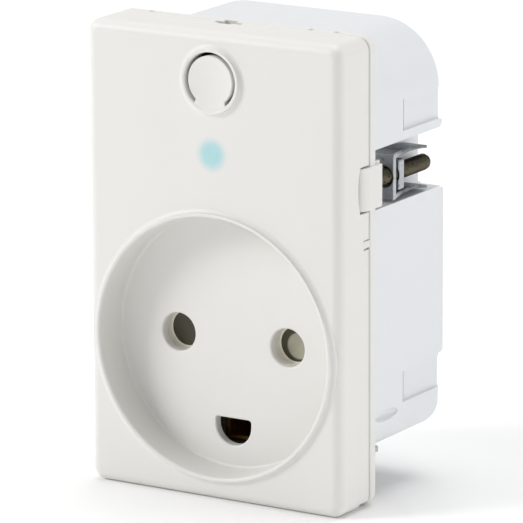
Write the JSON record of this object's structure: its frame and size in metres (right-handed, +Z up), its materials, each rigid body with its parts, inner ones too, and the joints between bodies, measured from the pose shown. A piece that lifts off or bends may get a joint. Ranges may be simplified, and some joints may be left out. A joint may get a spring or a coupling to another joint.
{
  "type": "smart socket insert",
  "caption": "Flush-mounted smart socket insert: round recess with two pin holes and an earth slot, push button, status light, and side claws for a wall box.",
  "frame": {"origin": "middle of the wall plane: the rear face of the mounting frame's flange, half way across and half way up the cover", "axes": "+Z up, +X to the right seen from the front, +Y into the wall; the face looks along -Y"},
  "size_m": [0.0444, 0.0316, 0.0706],
  "materials": {
    "ivory_plastic": "fine satin moulded thermoplastic, warm white",
    "housing_plastic": "satin moulded polycarbonate, cool white",
    "clear_plastic": "translucent light guide, pale teal when lit",
    "dark_plastic": "dark olive grey moulded insulation",
    "zinc_steel": "zinc-plated stamped steel",
    "dark_steel": "dark phosphated steel",
    "brass_strip": "stamped brass strip",
    "board_green": "solder-masked glass-fibre board",
    "copper_wire": "varnished copper winding",
    "part_blue": "moulded component case",
    "part_black": "black moulded component body"
  },
  "bodies": {
    "insert": {"board_connector": "part_black", "contact_earth": "brass_strip", "contact_live": "brass_strip", "contact_neutral": "brass_strip", "control_board": "board_green", "electrolytic_capacitor": "part_blue", "film_capacitor": "part_blue", "front_cover": "ivory_plastic", "fuse": "clear_plastic", "housing_screw_1": "zinc_steel", "housing_screw_2": "zinc_steel", "housing_screw_3": "zinc_steel", "housing_screw_4": "zinc_steel", "light_guide": "clear_plastic", "mounting_frame": "ivory_plastic", "power_board": "board_green", "radio_module": "zinc_steel", "rear_housing": "housing_plastic", "relay_base": "part_black", "relay_coil": "copper_wire", "relay_cover": "part_blue", "relay_fixed_contact": "brass_strip", "relay_yoke": "dark_steel", "retaining_clip_left": "zinc_steel", "retaining_clip_right": "zinc_steel", "shutter_spring": "zinc_steel", "socket_insert": "dark_plastic", "status_led": "clear_plastic", "tact_switch_body": "part_black", "terminal_block": "dark_plastic", "transformer_core": "part_black", "transformer_winding": "copper_wire", "varistor": "part_blue"},
    "button": {"button_tongue": "ivory_plastic"},
    "switch_plunger": {"tact_switch_plunger": "ivory_plastic"},
    "shutter": {"shutter": "dark_plastic"},
    "relay_armature": {"relay_armature": "dark_steel", "relay_moving_contact": "brass_strip"},
    "claw_bracket_right": {"claw_bracket_right": "zinc_steel"},
    "claw_screw_right": {"claw_screw_right": "dark_steel"},
    "claw_nut_right": {"claw_nut_right": "zinc_steel"},
    "claw_bracket_left": {"claw_bracket_left": "zinc_steel"},
    "claw_screw_left": {"claw_screw_left": "dark_steel"},
    "claw_nut_left": {"claw_nut_left": "zinc_steel"},
    "release_button_neutral": {"release_button_neutral": "dark_plastic"},
    "clamp_spring_neutral": {"clamp_spring_neutral": "zinc_steel"},
    "release_button_earth": {"release_button_earth": "dark_plastic"},
    "clamp_spring_earth": {"clamp_spring_earth": "zinc_steel"},
    "release_button_live": {"release_button_live": "dark_plastic"},
    "clamp_spring_live": {"clamp_spring_live": "zinc_steel"}
  },
  "joints": [
    {"name": "button_press", "type": "hinge", "parent": "insert", "child": "button", "pos_m": [0, -0.0076, 0.0221], "axis": [-1, 0, 0], "range_deg": [0, 5], "stiffness_Nm_per_rad": 0.2},
    {"name": "switch_travel", "type": "slide", "parent": "insert", "child": "switch_plunger", "axis": [0, 1, 0], "range_m": [0, 0.00055]},
    {"name": "shutter_lift", "type": "slide", "parent": "insert", "child": "shutter", "axis": [0, 0, 1], "range_m": [0, 0.0062], "stiffness_N_per_m": 80, "springref_m": -0.002, "deforming": ["shutter_spring"]},
    {"name": "relay_pull_in", "type": "hinge", "parent": "insert", "child": "relay_armature", "pos_m": [-0.0085, 0.0066, 0.0276], "axis": [-1, 0, 0], "range_deg": [0, 4], "stiffness_Nm_per_rad": 0.02},
    {"name": "claw_nut_right_draw", "type": "slide", "parent": "insert", "child": "claw_nut_right", "axis": [0, -1, 0], "range_m": [0, 0.00044]},
    {"name": "claw_screw_right_turn", "type": "hinge", "parent": "insert", "child": "claw_screw_right", "pos_m": [0.01965, 0, 0.013], "axis": [0, 1, 0], "range_deg": [0, 325]},
    {"name": "claw_right_spread", "type": "hinge", "parent": "insert", "child": "claw_bracket_right", "pos_m": [0.01965, 0.0063, 0.013], "axis": [0, 0, -1], "range_deg": [0, 8.1]},
    {"name": "claw_nut_left_draw", "type": "slide", "parent": "insert", "child": "claw_nut_left", "axis": [0, -1, 0], "range_m": [0, 0.00044]},
    {"name": "claw_screw_left_turn", "type": "hinge", "parent": "insert", "child": "claw_screw_left", "pos_m": [-0.01965, 0, 0.013], "axis": [0, 1, 0], "range_deg": [0, 325]},
    {"name": "claw_left_spread", "type": "hinge", "parent": "insert", "child": "claw_bracket_left", "pos_m": [-0.01965, 0.0063, 0.013], "axis": [0, 0, 1], "range_deg": [0, 8.1]},
    {"name": "release_neutral_push", "type": "slide", "parent": "insert", "child": "release_button_neutral", "axis": [0, -1, 0], "range_m": [0, 0.001], "stiffness_N_per_m": 800},
    {"name": "clamp_neutral_lift", "type": "hinge", "parent": "insert", "child": "clamp_spring_neutral", "pos_m": [-0.0094, 0.016, 0.0049], "axis": [-1, 0, 0], "range_deg": [0, 13.4]},
    {"name": "release_earth_push", "type": "slide", "parent": "insert", "child": "release_button_earth", "axis": [0, -1, 0], "range_m": [0, 0.001], "stiffness_N_per_m": 800},
    {"name": "clamp_earth_lift", "type": "hinge", "parent": "insert", "child": "clamp_spring_earth", "pos_m": [0, 0.016, 0.0049], "axis": [-1, 0, 0], "range_deg": [0, 13.4]},
    {"name": "release_live_push", "type": "slide", "parent": "insert", "child": "release_button_live", "axis": [0, -1, 0], "range_m": [0, 0.001], "stiffness_N_per_m": 800},
    {"name": "clamp_live_lift", "type": "hinge", "parent": "insert", "child": "clamp_spring_live", "pos_m": [0.0094, 0.016, 0.0049], "axis": [-1, 0, 0], "range_deg": [0, 13.4]}
  ],
  "couplings": [
    {"joint": "switch_travel", "follows": "button_press", "m_per_rad": 0.006},
    {"joint": "claw_screw_right_turn", "follows": "claw_nut_right_draw", "rad_per_m": 12566},
    {"joint": "claw_right_spread", "follows": "claw_nut_right_draw", "rad_per_m": 314.16},
    {"joint": "claw_screw_left_turn", "follows": "claw_nut_left_draw", "rad_per_m": 12566},
    {"joint": "claw_left_spread", "follows": "claw_nut_left_draw", "rad_per_m": 314.16},
    {"joint": "clamp_neutral_lift", "follows": "release_neutral_push", "rad_per_m": 232},
    {"joint": "clamp_earth_lift", "follows": "release_earth_push", "rad_per_m": 232},
    {"joint": "clamp_live_lift", "follows": "release_live_push", "rad_per_m": 232}
  ]
}
